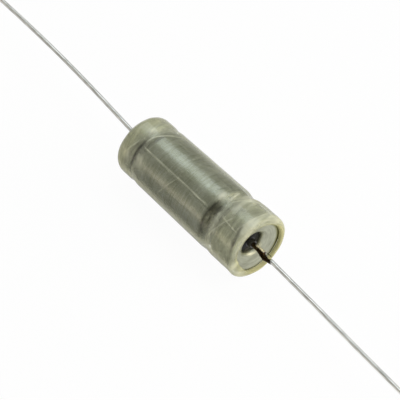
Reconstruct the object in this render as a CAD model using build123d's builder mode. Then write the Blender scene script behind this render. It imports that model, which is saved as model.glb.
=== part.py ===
"""Axial wet tantalum capacitor: a sintered slug in a drawn silver case, under a clear shrink sleeve.

All sizes are in millimetres. X runs along the body towards the positive lead and Z is up. The origin
is the middle of the sleeved body, on its axis. The body lies on its side.
"""

from build123d import *
from math import cos, radians, sin, tan
import os

# Case: a silver can with a closed rounded end, two rolled beads and a mouth spun over the seal
case_diameter = 9.52
case_length = 26.38
case_wall = 0.50
closed_end_corner = 1.20
mouth_shoulder = 0.60
mouth_hole_diameter = 3.60
mouth_dish_angle = 16.4
mouth_curl_round = 0.95
mouth_curl_length = 0.73

# Rolled beads: the far one pinches the bottom spacer, the near one grips the seal spacer
far_bead_from_closed_end = 3.78
far_bead_half_width = 1.10
far_bead_depth = 0.72
near_bead_from_mouth = 5.82
near_bead_half_width = 1.40
near_bead_depth = 0.95
bead_root_round = 0.80
bead_shoulder_round = 0.75

# Sleeve: clear film, shrunk on, dipping over the beads, with its ends turned over the case's ends
film_wall = 0.11
film_far_lip_width = 1.61
film_far_dip = 0.12
film_near_dip = 0.26
film_dip_round = 2.40
film_flare = 0.33
film_near_lip_width = 0.69
film_lip_stand_off = 0.46
film_lip_outer_round = 0.62
film_lip_inner_round = 0.25
film_lip_slope = 0.10

# Seal under the mouth: an elastomer bushing on a fluoropolymer spacer
spacer_height = 3.20
seal_dome_height = 0.26
seal_dome_recess = 0.42
seal_boss_height = 0.62
seal_boss_base_diameter = 1.44
seal_boss_tip_diameter = 1.16

# Anode: a sintered slug with its riser wire pressed into it
slug_edge_chamfer = 0.35
slug_to_spacer = 0.60
riser_diameter = 0.80
riser_embed = 2.50
riser_stand_out = 2.40

# Bottom spacer: a cup that holds the slug clear of the case
cup_floor = 0.90
cup_height = 4.60
cup_pinched_wall = 0.24

# Leads: tinned nickel wire, 0.64 mm thick and 57 mm long beyond the body
lead_diameter = 0.64
lead_length = 57.15
lead_tip_chamfer = 0.06
positive_lead_angle = -2.9
negative_lead_angle = 4.4
negative_lead_offset = 0.18
negative_lead_run = 22.5
negative_lead_bend_radius = 330
weld_collar_diameter = 1.10
weld_collar_height = 0.30
weld_collar_round = 0.12

# Weld nugget where the positive lead meets the riser wire
nugget_length = 1.50
nugget_diameter = 1.06
nugget_overlap = 0.45
nugget_drop_diameter = 0.74
nugget_drop_offset = 0.36
nugget_drop_angle = 210

# Clearance between pieces that are pressed or moulded together
fit_gap = 0.02

# Radii and places along the axis, worked out from the sizes above
case_radius = case_diameter / 2
case_bore_radius = case_radius - case_wall
mouth_hole_radius = mouth_hole_diameter / 2
film_radius = case_radius + fit_gap + film_wall
film_lip_edge_radius = film_radius - film_near_lip_width
slug_radius = case_bore_radius - far_bead_depth - cup_pinched_wall
riser_radius = riser_diameter / 2
lead_radius = lead_diameter / 2
sleeved_length = film_wall + fit_gap + case_length + film_lip_stand_off
far_face_x = -sleeved_length / 2
lip_crest_x = sleeved_length / 2
tip_x = lip_crest_x + lead_length
closed_end_x = far_face_x + film_wall + fit_gap
case_floor_x = closed_end_x + case_wall
mouth_x = closed_end_x + case_length
far_bead_x = closed_end_x + far_bead_from_closed_end
near_bead_x = mouth_x - near_bead_from_mouth
dish_slope = tan(radians(mouth_dish_angle))
mouth_hole_x = mouth_x - (case_radius - mouth_hole_radius) * dish_slope
spacer_base_x = near_bead_x - spacer_height / 2
seal_base_x = near_bead_x + spacer_height / 2
slug_base_x = case_floor_x + cup_floor + 2 * fit_gap
slug_top_x = spacer_base_x - slug_to_spacer
riser_base_x = slug_top_x - riser_embed
riser_end_x = mouth_hole_x + riser_stand_out
nugget_middle_x = riser_end_x - nugget_overlap + nugget_length / 2


def case_outline():
    """Outer line of the case in section, from the axis at the closed end to the mouth's curled-in hole."""
    return FilletPolyline(
        (closed_end_x, 0),
        (closed_end_x, case_radius),
        (far_bead_x - far_bead_half_width, case_radius),
        (far_bead_x, case_radius - far_bead_depth),
        (far_bead_x + far_bead_half_width, case_radius),
        (near_bead_x - near_bead_half_width, case_radius),
        (near_bead_x, case_radius - near_bead_depth),
        (near_bead_x + near_bead_half_width, case_radius),
        (mouth_x, case_radius),
        (mouth_hole_x, mouth_hole_radius),
        (mouth_hole_x - mouth_curl_length, mouth_hole_radius),
        radius=[
            closed_end_corner,
            bead_shoulder_round,
            bead_root_round,
            bead_shoulder_round,
            bead_shoulder_round,
            bead_root_round,
            bead_shoulder_round,
            mouth_shoulder,
            mouth_curl_round,
        ],
    )


def film_outline():
    """Outer line of the sleeve in section, from its far lip over both dips to its near lip."""
    lip_edge_x = mouth_x - (case_radius - film_lip_edge_radius) * dish_slope + fit_gap + film_wall
    return FilletPolyline(
        (far_face_x, film_radius - film_far_lip_width),
        (far_face_x, film_radius),
        (far_bead_x - far_bead_half_width, film_radius),
        (far_bead_x, film_radius - film_far_dip),
        (far_bead_x + far_bead_half_width, film_radius),
        (near_bead_x - near_bead_half_width, film_radius),
        (near_bead_x, film_radius - film_near_dip),
        (near_bead_x + near_bead_half_width, film_radius),
        (lip_crest_x, film_radius + film_flare),
        (lip_crest_x, film_lip_edge_radius + film_lip_slope),
        (lip_edge_x, film_lip_edge_radius),
        radius=[
            closed_end_corner + fit_gap + film_wall,
            0,
            film_dip_round,
            0,
            0,
            film_dip_round,
            0,
            film_lip_outer_round,
            film_lip_inner_round,
        ],
    )


# Case: one sheet of even wall, curled inwards round the hole in its mouth
with BuildPart() as case:
    with BuildSketch(Plane.XZ):
        with BuildLine():
            case_outline()
            offset(amount=case_wall, side=Side.RIGHT)
        make_face()
    revolve(axis=Axis.X)

# Sleeve: one tube of film
with BuildPart() as insulating_sleeve:
    with BuildSketch(Plane.XZ):
        with BuildLine():
            film_outline()
            offset(amount=film_wall, side=Side.RIGHT)
        make_face()
    revolve(axis=Axis.X)

# The room inside the case, in half section. Whatever fills the case takes its outside from this.
with BuildSketch() as room:
    with BuildLine():
        case_outline()
        offset(amount=case_wall + fit_gap, side=Side.RIGHT, closed=False, mode=Mode.REPLACE)
        wall_line = wires()[0]
        Polyline(wall_line @ 0, ((wall_line @ 1).X, 0), wall_line @ 1)
    make_face()


def room_section(start_x, end_x, inner_radius=0):
    """Half section of what fills the room between two planes, outside an inner radius."""
    with BuildSketch(Plane.XZ) as section:
        add(room.sketch)
        with Locations(((start_x + end_x) / 2, inner_radius + case_radius / 2)):
            Rectangle(end_x - start_x, case_radius, mode=Mode.INTERSECT)
    return section.sketch


# Bottom spacer: a cup on the floor of the case, waisted where the far bead pinches it
with BuildPart() as bottom_spacer:
    revolve(room_section(closed_end_x, case_floor_x + cup_height), axis=Axis.X)
    with BuildSketch(Plane.YZ.offset(slug_base_x - fit_gap)):
        Circle(slug_radius + fit_gap)
    extrude(amount=case_length, mode=Mode.SUBTRACT)

# Anode slug: a pressed and sintered pellet with a socket for the riser wire
with BuildPart() as anode_slug:
    with BuildSketch(Plane.YZ.offset(slug_base_x)):
        Circle(slug_radius)
    extrude(amount=slug_top_x - slug_base_x)
    chamfer(edges().filter_by(GeomType.CIRCLE), length=slug_edge_chamfer)
    with BuildSketch(Plane.YZ.offset(riser_base_x)):
        Circle(riser_radius + fit_gap)
    extrude(amount=riser_embed, mode=Mode.SUBTRACT)

# Riser wire: from inside the slug out through the seal
with BuildPart() as riser_wire:
    with BuildSketch(Plane.YZ.offset(riser_base_x)):
        Circle(riser_radius)
    extrude(amount=riser_end_x - riser_base_x)

# Seal spacer: a disc round the riser wire, waisted by the near bead
with BuildPart() as seal_spacer:
    revolve(room_section(spacer_base_x, seal_base_x, riser_radius + fit_gap), axis=Axis.X)

# End seal: fills the mouth behind the flange and its hole, with a boss round the riser wire
with BuildPart() as end_seal:
    revolve(room_section(seal_base_x + fit_gap, mouth_x, riser_radius + fit_gap), axis=Axis.X)
    plug_radius = mouth_hole_radius - fit_gap
    plug_edge_x = mouth_hole_x - seal_dome_recess - seal_dome_height
    dome_radius = (plug_radius**2 + seal_dome_height**2) / (2 * seal_dome_height)
    with BuildSketch(Plane.XZ):
        with BuildLine():
            Polyline(
                (plug_edge_x + seal_dome_height, 0),
                (seal_base_x + fit_gap, 0),
                (seal_base_x + fit_gap, plug_radius),
                (plug_edge_x, plug_radius),
            )
            RadiusArc((plug_edge_x, plug_radius), (plug_edge_x + seal_dome_height, 0), dome_radius)
        make_face()
        boss_tip_x = plug_edge_x + seal_dome_height + seal_boss_height
        with BuildLine():
            Polyline(
                (plug_edge_x, 0),
                (boss_tip_x, 0),
                (boss_tip_x, seal_boss_tip_diameter / 2),
                (plug_edge_x, seal_boss_base_diameter / 2),
                close=True,
            )
        make_face()
        Rectangle(2 * case_length, 2 * (riser_radius + fit_gap), mode=Mode.SUBTRACT)
    revolve(axis=Axis.X)

# Electrolyte gel: what is left of the room, round the slug and over its top
with BuildPart() as electrolyte_gel:
    gel_start_x = case_floor_x + cup_height + fit_gap
    revolve(room_section(gel_start_x, spacer_base_x - fit_gap, riser_radius + fit_gap), axis=Axis.X)
    with BuildSketch(Plane.YZ.offset(slug_base_x)):
        Circle(slug_radius + fit_gap)
    extrude(amount=slug_top_x + fit_gap - slug_base_x, mode=Mode.SUBTRACT)

# Positive lead: a straight wire, a little askew, whose welded end is a lumpy nugget on the riser wire
with BuildPart() as positive_lead:
    lead_direction = Vector(1, 0, 0).rotate(Axis.Z, positive_lead_angle)
    with BuildSketch(Plane(origin=(nugget_middle_x, 0, 0), z_dir=lead_direction)):
        Circle(lead_radius)
    extrude(amount=(tip_x - nugget_middle_x) / cos(radians(positive_lead_angle)))
    chamfer(faces().sort_by(Axis.X)[-1].edges(), length=lead_tip_chamfer)
    with BuildSketch(Plane.XZ):
        with Locations((nugget_middle_x, 0)):
            Ellipse(nugget_length / 2, nugget_diameter / 2)
        with Locations((nugget_middle_x, -nugget_diameter)):
            Rectangle(2 * nugget_length, 2 * nugget_diameter, mode=Mode.SUBTRACT)
    revolve(axis=Axis.X)
    drop_y = nugget_drop_offset * cos(radians(nugget_drop_angle))
    drop_z = nugget_drop_offset * sin(radians(nugget_drop_angle))
    with Locations((nugget_middle_x, drop_y, drop_z)):
        Sphere(nugget_drop_diameter / 2)
    with BuildSketch(Plane.YZ.offset(riser_end_x)):
        Circle(riser_radius + fit_gap)
    extrude(amount=-nugget_length, mode=Mode.SUBTRACT)

# Negative lead: a gently bent wire with the collar that its butt weld raises on the closed end
with BuildPart() as negative_lead:
    root_x = closed_end_x - weld_collar_height / 2
    bend_y = negative_lead_offset + negative_lead_run * tan(radians(negative_lead_angle))
    with BuildLine():
        route = FilletPolyline(
            (root_x, negative_lead_offset),
            (root_x - negative_lead_run, bend_y),
            (-tip_x, bend_y),
            radius=negative_lead_bend_radius,
        )
    with BuildSketch(Plane(origin=route @ 0, z_dir=route % 0)):
        Circle(lead_radius)
    sweep(path=route)
    chamfer(faces().sort_by(Axis.X)[0].edges(), length=lead_tip_chamfer)
    with BuildSketch(Plane(origin=(closed_end_x, negative_lead_offset, 0), z_dir=(-1, 0, 0))):
        Circle(weld_collar_diameter / 2)
    collar = extrude(amount=weld_collar_height)
    fillet(collar.edges().filter_by(GeomType.CIRCLE).sort_by(Axis.X)[0], radius=weld_collar_round)

# One file for each piece, named as the piece is
os.makedirs("parts", exist_ok=True)
pieces = {
    "case": case,
    "insulating_sleeve": insulating_sleeve,
    "end_seal": end_seal,
    "seal_spacer": seal_spacer,
    "bottom_spacer": bottom_spacer,
    "anode_slug": anode_slug,
    "riser_wire": riser_wire,
    "electrolyte_gel": electrolyte_gel,
    "positive_lead": positive_lead,
    "negative_lead": negative_lead,
}
for name, piece in pieces.items():
    piece.part.label = name
    export_step(piece.part, f"parts/{name}.step")
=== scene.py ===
import math
import bmesh
import bpy
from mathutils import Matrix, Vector, noise


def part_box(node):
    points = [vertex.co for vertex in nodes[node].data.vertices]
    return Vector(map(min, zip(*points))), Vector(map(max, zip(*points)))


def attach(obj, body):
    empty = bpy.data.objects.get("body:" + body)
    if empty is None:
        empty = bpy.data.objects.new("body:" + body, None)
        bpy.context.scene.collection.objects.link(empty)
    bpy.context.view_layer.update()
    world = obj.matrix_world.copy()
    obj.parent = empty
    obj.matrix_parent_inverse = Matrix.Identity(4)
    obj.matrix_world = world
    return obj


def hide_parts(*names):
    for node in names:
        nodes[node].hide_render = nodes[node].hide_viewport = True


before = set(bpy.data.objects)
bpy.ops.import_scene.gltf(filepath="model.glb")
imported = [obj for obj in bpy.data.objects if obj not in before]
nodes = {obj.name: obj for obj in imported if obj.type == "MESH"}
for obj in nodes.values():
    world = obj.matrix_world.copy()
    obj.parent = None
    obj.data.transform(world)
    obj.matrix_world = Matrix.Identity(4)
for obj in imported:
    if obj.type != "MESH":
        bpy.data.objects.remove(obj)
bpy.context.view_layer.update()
mm = 0.001

sleeveLow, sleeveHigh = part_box("insulating_sleeve")
farX, mouthX = sleeveLow.x / mm, sleeveHigh.x / mm
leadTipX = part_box("positive_lead")[1].x / mm
print("frame loaded:", len(nodes), "CAD nodes")


def linearColour(hexText):
    values = [int(hexText[i:i + 2], 16) / 255 for i in (0, 2, 4)]
    return [v / 12.92 if v <= 0.04045 else ((v + 0.055) / 1.055) ** 2.4 for v in values] + [1.0]


def addNode(tree, kind, settings=None, links=None):
    # a string key that names an input sets that input, any other string key a property of the node;
    # a link comes from a socket, or from a node's first output
    node = tree.nodes.new(kind)
    for key, value in (settings or {}).items():
        if key == "stops":  # the two of a colour ramp, each a place and a colour
            for element, (place, colour) in zip(node.color_ramp.elements, value):
                element.position, element.color = place, colour
        elif isinstance(key, int) or key in node.inputs:
            node.inputs[key].default_value = value
        else:
            setattr(node, key, value)
    for key, source in (links or {}).items():
        if isinstance(source, bpy.types.Node):
            source = source.outputs[0]
        tree.links.new(source, node.inputs[key])
    return node


def newMaterial(name):
    material = bpy.data.materials.new(name)
    material.use_nodes = True
    material.node_tree.nodes.clear()
    return material, material.node_tree


def millimetres(tree):
    # object coordinates in millimetres: every piece's object sits at the frame's origin
    place = addNode(tree, "ShaderNodeTexCoord")
    return addNode(tree, "ShaderNodeVectorMath", {"operation": "SCALE", "Scale": 1 / mm},
                   {0: place.outputs["Object"]})


def aroundAxis(tree, place):
    # how far a place lies from the body's axis, and in which direction
    across = addNode(tree, "ShaderNodeVectorMath", {"operation": "MULTIPLY", 1: (0, 1, 1)}, {0: place})
    reach = addNode(tree, "ShaderNodeVectorMath", {"operation": "LENGTH"}, {0: across})
    unit = addNode(tree, "ShaderNodeVectorMath", {"operation": "NORMALIZE"}, {0: across})
    return reach.outputs["Value"], unit


def linePlaces(tree, unit, along, gap, changes):
    # places for a noise that draws lines: it changes once each gap along the body, and this often round it
    around = addNode(tree, "ShaderNodeVectorMath", {"operation": "SCALE", "Scale": changes}, {0: unit})
    count = addNode(tree, "ShaderNodeMath", {"operation": "DIVIDE", 1: gap}, {0: along})
    lift = addNode(tree, "ShaderNodeCombineXYZ", links={"X": count})
    return addNode(tree, "ShaderNodeVectorMath", {"operation": "ADD"}, {0: around, 1: lift})


def sideAt(angle):
    # the direction at an angle round the body, in degrees from +Y towards +Z
    turn = math.radians(angle)
    return 0, math.cos(turn), math.sin(turn)


def sideShare(tree, place, side, span, shares=(0.0, 1.0)):
    # how far a place or a direction lies towards a side, as a share that grows over a span
    towards = addNode(tree, "ShaderNodeVectorMath", {"operation": "DOT_PRODUCT", 1: side}, {0: place})
    return addNode(tree, "ShaderNodeMapRange", {"From Min": span[0], "From Max": span[1],
                                                "To Min": shares[0], "To Max": shares[1]},
                   {"Value": towards.outputs["Value"]})


def smoothStep(low, high, value):
    t = min(1.0, max(0.0, (value - low) / (high - low)))
    return t * t * (3 - 2 * t)


def within(x, rise, fall):
    # 1 between two places, easing in over one span and out over the other
    return smoothStep(*rise, x) * smoothStep(*fall, x)


def bell(distance, width):
    return math.exp(-(distance / width) ** 2)


def turnBetween(angle, other):
    # the smaller turn from one angle to another, in degrees
    return (angle - other + 180) % 360 - 180


def towardsAngle(turn, angle):
    # 1 at that angle round the body, 0 on the side across from it
    return 0.5 + 0.5 * math.cos(turn - math.radians(angle))


def meshObject(name, build, material, slot, *replaced):
    mesh = bpy.data.meshes.new(name)
    build.normal_update()
    build.to_mesh(mesh)
    build.free()
    for face in mesh.polygons:
        face.use_smooth = True
    piece = bpy.data.objects.new(name, mesh)
    bpy.context.scene.collection.objects.link(piece)
    mesh.materials.append(material)
    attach(piece, "root")
    if replaced:
        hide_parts(*replaced)
    return piece


def roundedLine(corners, step):
    # points about one step apart along a line whose corners are (x, radius from the axis, round)
    line = [Vector(corners[0][:2])]
    for before, corner, after in zip(corners, corners[1:], corners[2:]):
        middle, size = Vector(corner[:2]), corner[2]
        back = (Vector(before[:2]) - middle).normalized()
        ahead = (Vector(after[:2]) - middle).normalized()
        half = back.angle(ahead) / 2
        if size <= 0 or half > math.radians(89.9):
            line.append(middle)
            continue
        reach = size / math.tan(half)
        centre = middle + (back + ahead).normalized() * (size / math.sin(half))
        start, end = middle + back * reach - centre, middle + ahead * reach - centre
        turn = start.angle_signed(end)
        count = max(2, math.ceil(size * abs(turn) / step))
        for i in range(count + 1):
            angle = math.atan2(start.y, start.x) - turn * i / count
            line.append(centre + size * Vector((math.cos(angle), math.sin(angle))))
    line.append(Vector(corners[-1][:2]))
    points = [line[0]]
    for a, b in zip(line, line[1:]):
        count = max(1, round((b - a).length / step))
        points += [a.lerp(b, i / count) for i in range(1, count + 1)]
    return points


# a pair of numbers in the dictionaries below is where a thing starts and where it is full
silver = {
    "bright": "a9aaa0",
    "tarnished": "83846f",
    "brightFrom": (0.37, 0.63),      # of the mottled pattern, half stains and half turning lines
    "patchesFrom": (0.36, 0.60),     # the same on the collars and the mouth
    "stainSize": 4.0,
    "roughness": (0.45, 0.31),
    "lineWidth": 0.26,               # real turning lines are finer than a pixel, so they are drawn coarser
    "lineDepth": 0.006,
    "linesRound": 1.6,
    "beads": ((-9.6, 0.85), (6.3, 1.3)),   # middle and half width of the two rolled beads
    "beadTarnishAndShade": "62614f",            # tarnish gathers in them, and painted shade darkens them more on one side
    "beadCore": 0.2,                 # and is thickest in this share of their width
    # painted shade: the beads are darker on the side round this angle
    "beadShadeAngle": 140,
    "beadShadeFrom": (0.70, 0.90),
    "beadDarkShares": (0.12, 0.80),
    "collar": "c2c3ac",              # the ends beyond them are brighter: painted sheen for the light the film's air gap adds there
    "collarsFrom": ((-10.2, -10.6), (8.2, 8.8)),
    "mouth": "bbbdaa",               # and the spun end cleanest, because the film doesn't cover it
    "mouthDull": "8e8f7d",
    "mouthFrom": (12.7, 12.8),
    "faceReach": (4.6, 4.3),         # its dished face, as distance from the axis
    "faceFrom": (11.5, 12.0),
    "edgeShadow": "85855a",                 # painted shadow of the film's cut edge, dark yellow-olive, round the edge of the face on one side
    "edgeShadowReach": (3.75, 4.06),
    "edgeShadowAngle": 10,
    "edgeShadowFrom": (0.2, 0.7),
}


def drawnSilver():
    # drawn and turned silver, lightly tarnished: soft grey-green metal with fine lines round it, with painted
    # shade in the beads on one side, painted sheen on the collars and a painted shadow by the film's cut edge
    material, tree = newMaterial("drawnSilver")
    place = millimetres(tree)
    x = addNode(tree, "ShaderNodeSeparateXYZ", links={0: place}).outputs["X"]
    reach, unit = aroundAxis(tree, place)
    # x plus the radius runs on along the barrel and over the spun mouth, so the lines go on there
    along = addNode(tree, "ShaderNodeMath", {"operation": "ADD"}, {0: x, 1: reach})
    lines = linePlaces(tree, unit, along, silver["lineWidth"], silver["linesRound"])
    turning = addNode(tree, "ShaderNodeTexNoise", {"Scale": 1.0, "Detail": 3.0, "Roughness": 0.6},
                      {"Vector": lines}).outputs["Fac"]
    stains = addNode(tree, "ShaderNodeTexNoise", {"Scale": 1 / silver["stainSize"], "Detail": 4.0},
                     {"Vector": place}).outputs["Fac"]
    stained = addNode(tree, "ShaderNodeMath", {"operation": "MULTIPLY", 1: 0.5}, {0: turning})
    stained = addNode(tree, "ShaderNodeMath", {"operation": "MULTIPLY_ADD", 1: 0.5}, {0: stains, 2: stained})
    low, high = silver["patchesFrom"]
    patches = addNode(tree, "ShaderNodeMapRange", {"From Min": low, "From Max": high}, {"Value": stained})
    low, high = silver["brightFrom"]
    colour = addNode(tree, "ShaderNodeValToRGB", {"stops": [
        (low, linearColour(silver["tarnished"])), (high, linearColour(silver["bright"]))]}, {"Fac": stained})
    # painted sheen: the collars get a brighter silver colour
    collars = [addNode(tree, "ShaderNodeMapRange", {"From Min": start, "From Max": full}, {"Value": x})
               for start, full in silver["collarsFrom"]]
    onCollar = addNode(tree, "ShaderNodeMath", {"operation": "MAXIMUM"}, {0: collars[0], 1: collars[1]})
    collarSheenColour = addNode(tree, "ShaderNodeMix", {"data_type": "RGBA", 6: linearColour(silver["tarnished"]),
                                                   7: linearColour(silver["collar"])}, {0: patches})
    colour = addNode(tree, "ShaderNodeMix", {"data_type": "RGBA"},
                     {0: onCollar, 6: colour, 7: collarSheenColour.outputs[2]}).outputs[2]
    # painted shade: the beads' tarnish is darkened much more on one side
    beadShadeSide = sideShare(tree, unit, sideAt(silver["beadShadeAngle"]), silver["beadShadeFrom"], silver["beadDarkShares"])
    for beadX, beadHalf in silver["beads"]:
        away = addNode(tree, "ShaderNodeMath", {"operation": "SUBTRACT", 1: beadX}, {0: x})
        away = addNode(tree, "ShaderNodeMath", {"operation": "ABSOLUTE"}, {0: away})
        beadDarkening = addNode(tree, "ShaderNodeMapRange", {"interpolation_type": "SMOOTHSTEP", "From Min": beadHalf,
                                                    "From Max": silver["beadCore"] * beadHalf},
                       {"Value": away, "To Max": beadShadeSide})
        colour = addNode(tree, "ShaderNodeMix", {"data_type": "RGBA", 7: linearColour(silver["beadTarnishAndShade"])},
                         {0: beadDarkening, 6: colour}).outputs[2]
    atMouth, atFace, onFace = [
        addNode(tree, "ShaderNodeMapRange", {"From Min": silver[span][0], "From Max": silver[span][1]},
                {"Value": source})
        for span, source in (("mouthFrom", x), ("faceFrom", x), ("faceReach", reach))]
    onFace = addNode(tree, "ShaderNodeMath", {"operation": "MULTIPLY"}, {0: onFace, 1: atFace})
    clean = addNode(tree, "ShaderNodeMath", {"operation": "MAXIMUM"}, {0: atMouth, 1: onFace})
    mouthColour = addNode(tree, "ShaderNodeMix", {"data_type": "RGBA", 6: linearColour(silver["mouthDull"]),
                                                  7: linearColour(silver["mouth"])}, {0: patches})
    # painted shadow where the film's cut edge stands over the face, on one side
    edgeShadowSide = sideShare(tree, unit, sideAt(silver["edgeShadowAngle"]), silver["edgeShadowFrom"])
    low, high = silver["edgeShadowReach"]
    inEdgeShadow = addNode(tree, "ShaderNodeMapRange", {"From Min": low, "From Max": high},
                    {"Value": reach, "To Max": edgeShadowSide})
    mouthColour = addNode(tree, "ShaderNodeMix", {"data_type": "RGBA", 7: linearColour(silver["edgeShadow"])},
                          {0: inEdgeShadow, 6: mouthColour.outputs[2]})
    colour = addNode(tree, "ShaderNodeMix", {"data_type": "RGBA"},
                     {0: clean, 6: colour, 7: mouthColour.outputs[2]})
    tarnished, bright = silver["roughness"]
    rough = addNode(tree, "ShaderNodeMapRange", {"To Min": tarnished, "To Max": bright}, {"Value": stained})
    bump = addNode(tree, "ShaderNodeBump", {"Strength": 0.6, "Distance": silver["lineDepth"] * mm},
                   {"Height": turning})
    skin = addNode(tree, "ShaderNodeBsdfPrincipled", {"Metallic": 1.0},
                   {"Base Color": colour.outputs[2], "Roughness": rough, "Normal": bump})
    addNode(tree, "ShaderNodeOutputMaterial", links={"Surface": skin})
    return material


film = {
    "tint": "fdfefb",
    "milk": "dfe0c8",
    "milkEdge": "dfdcac",     # seen edge on, through more of it, the yellowed film is deeper in colour
    "milkEdgeFrom": (0.45, 0.85),
    "glow": 0.2,              # the share of its milk that light comes through
    "paintedShade": "2c2b1f",        # painted shade in its dark creases and on the turned lip
    "edgeFrom": (0.80, 1.0),  # the film's own thickness shows as a pale line along its outline
    "edgeMost": 0.22,
    "ior": 1.57,
    "roughness": 0.16,
    "waveSize": 1.4,
    "waveDepth": 0.06,
    "drawnGap": 0.30,         # lines that the hot air and the stretch left along and round the film
    "drawnRound": 1.3,        # how often a line round it changes
    "drawnLength": 9.0,       # how long a line along it is
    "drawnRadius": 5.0,
    "drawnFrom": (0.52, 0.78),
    "drawnMilk": 0.10,
    "drawnHeight": 0.35,      # against the waves
    # near its outline the film bends the light, so the silver shows almost to the edge
    "lensFrom": (0.56, 0.80),
    "lensMost": 0.50,
    "lensSilver": "9a9c8c",
    "lensRoughness": 0.42,
    "lensMilk": 0.4,
}
# what each point of the film tells its material, as shares
filmLayers = ("milkiness", "overSilver", "yellowing", "paintedShade", "cutEdge")


def shrunkPolyester():
    # clear polyester film, shrunk on hot and yellowed: sharp gloss, milky where it is creased or thick, with
    # painted shade in its dark creases
    material, tree = newMaterial("shrunkPolyester")
    place = millimetres(tree)
    x = addNode(tree, "ShaderNodeSeparateXYZ", links={0: place}).outputs["X"]
    unit = aroundAxis(tree, place)[1]
    painted = {name: addNode(tree, "ShaderNodeAttribute", {"attribute_name": name}).outputs["Fac"]
               for name in filmLayers}
    cloudiness = painted["milkiness"]
    heights = addNode(tree, "ShaderNodeTexNoise", {"Scale": 1 / film["waveSize"], "Detail": 3.0},
                      {"Vector": place}).outputs["Fac"]
    # lines round the film, then lines along it
    for gap, changes in ((film["drawnGap"], film["drawnRound"]),
                         (film["drawnLength"], film["drawnRadius"] / film["drawnGap"])):
        drawn = addNode(tree, "ShaderNodeTexNoise", {"Scale": 1.0, "Detail": 2.0, "Distortion": 0.4},
                        {"Vector": linePlaces(tree, unit, x, gap, changes)}).outputs["Fac"]
        low, high = film["drawnFrom"]
        pale = addNode(tree, "ShaderNodeMapRange", {"From Min": low, "From Max": high,
                                                    "To Max": film["drawnMilk"]}, {"Value": drawn})
        cloudiness = addNode(tree, "ShaderNodeMath", {"operation": "ADD"}, {0: cloudiness, 1: pale})
        heights = addNode(tree, "ShaderNodeMath", {"operation": "MULTIPLY_ADD", 1: film["drawnHeight"]},
                          {0: drawn, 2: heights})
    bump = addNode(tree, "ShaderNodeBump", {"Strength": 0.4, "Distance": film["waveDepth"] * mm},
                   {"Height": heights})
    facing = addNode(tree, "ShaderNodeLayerWeight", {"Blend": 0.5}).outputs["Facing"]
    low, high = film["milkEdgeFrom"]
    yellower = addNode(tree, "ShaderNodeMapRange", {"From Min": low, "From Max": high}, {"Value": facing})
    yellower = addNode(tree, "ShaderNodeMath", {"operation": "MAXIMUM"},
                       {0: yellower, 1: painted["yellowing"]})
    milkColour = addNode(tree, "ShaderNodeMix", {"data_type": "RGBA", 6: linearColour(film["milk"]),
                                                 7: linearColour(film["milkEdge"])}, {0: yellower}).outputs[2]
    clear = addNode(tree, "ShaderNodeBsdfTransparent", {"Color": linearColour(film["tint"])})
    milk = addNode(tree, "ShaderNodeBsdfDiffuse", links={"Color": milkColour, "Normal": bump})
    lit = addNode(tree, "ShaderNodeBsdfTranslucent", links={"Color": milkColour, "Normal": bump})
    cloudy = addNode(tree, "ShaderNodeMixShader", {0: film["glow"]}, {1: milk, 2: lit})
    body = addNode(tree, "ShaderNodeMixShader", links={0: cloudiness, 1: clear, 2: cloudy})
    low, high = film["lensFrom"]
    lens = addNode(tree, "ShaderNodeMapRange", {"interpolation_type": "SMOOTHSTEP", "From Min": low,
                                                "From Max": high, "To Max": film["lensMost"]},
                   {"Value": facing})
    lens = addNode(tree, "ShaderNodeMath", {"operation": "MULTIPLY"}, {0: lens, 1: painted["overSilver"]})
    bent = addNode(tree, "ShaderNodeBsdfGlossy",
                   {"Color": linearColour(film["lensSilver"]), "Roughness": film["lensRoughness"]},
                   {"Normal": bump})
    bent = addNode(tree, "ShaderNodeMixShader", {0: film["lensMilk"]}, {1: bent, 2: cloudy})
    body = addNode(tree, "ShaderNodeMixShader", links={0: lens, 1: body, 2: bent})
    low, high = film["edgeFrom"]
    thickness = addNode(tree, "ShaderNodeMapRange", {"From Min": low, "From Max": high,
                                                     "To Max": film["edgeMost"]}, {"Value": facing})
    body = addNode(tree, "ShaderNodeMixShader", links={0: thickness, 1: body, 2: cloudy})
    # painted shade: a dark diffuse colour where the film's points carry it
    shadeLayer = addNode(tree, "ShaderNodeBsdfDiffuse", {"Color": linearColour(film["paintedShade"])}, {"Normal": bump})
    body = addNode(tree, "ShaderNodeMixShader", links={0: painted["paintedShade"], 1: body, 2: shadeLayer})
    gloss = addNode(tree, "ShaderNodeBsdfGlossy", {"Roughness": film["roughness"]}, {"Normal": bump})
    # no gloss on the film's inner side or on its cut edge
    inside = addNode(tree, "ShaderNodeNewGeometry").outputs["Backfacing"]
    hidden = addNode(tree, "ShaderNodeMath", {"operation": "MAXIMUM"}, {0: inside, 1: painted["cutEdge"]})
    outer = addNode(tree, "ShaderNodeMath", {"operation": "SUBTRACT", 0: 1.0}, {1: hidden})
    edge = addNode(tree, "ShaderNodeFresnel", {"IOR": film["ior"]}, {"Normal": bump})
    shine = addNode(tree, "ShaderNodeMath", {"operation": "MULTIPLY"}, {0: edge, 1: outer})
    skin = addNode(tree, "ShaderNodeMixShader", links={0: shine, 1: body, 2: gloss})
    addNode(tree, "ShaderNodeOutputMaterial", links={"Surface": skin})
    return material


rubber = {
    "colour": "0b0a08",
    "ior": 1.52,
    "roughness": (0.16, 0.34),
    "gloss": 0.14,
    "bossGloss": 1.0,          # the boss round the wire is glossier
    "bossRoughness": 0.26,
    "bossReach": (0.80, 0.72),
    "grainSize": 0.25,
    "grainDepth": 0.01,
}


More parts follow.
